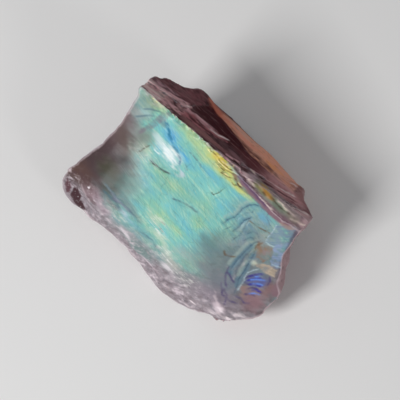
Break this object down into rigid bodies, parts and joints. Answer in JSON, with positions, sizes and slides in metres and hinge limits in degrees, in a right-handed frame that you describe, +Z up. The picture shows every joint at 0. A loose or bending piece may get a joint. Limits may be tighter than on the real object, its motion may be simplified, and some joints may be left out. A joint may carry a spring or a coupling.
{
  "type": "rough moonstone",
  "caption": "Small rough piece of rainbow moonstone, broken on all sides: a broad sheen face, a steep stepped cleavage face behind its ridge, a frosted rim and a flat underside.",
  "frame": {"origin": "centre of the bounding box's bottom, on the flat underside", "axes": "+Z up; +X along the ridge, towards the end where the ridge is bevelled; +Y towards the steep cleavage face"},
  "size_m": [0.0156, 0.0114, 0.0091],
  "materials": {
    "moonstone": "glossy broken crystal, cloudy, with a blue-green sheen"
  },
  "bodies": {
    "root": {"moonstone": "moonstone"}
  },
  "joints": []
}
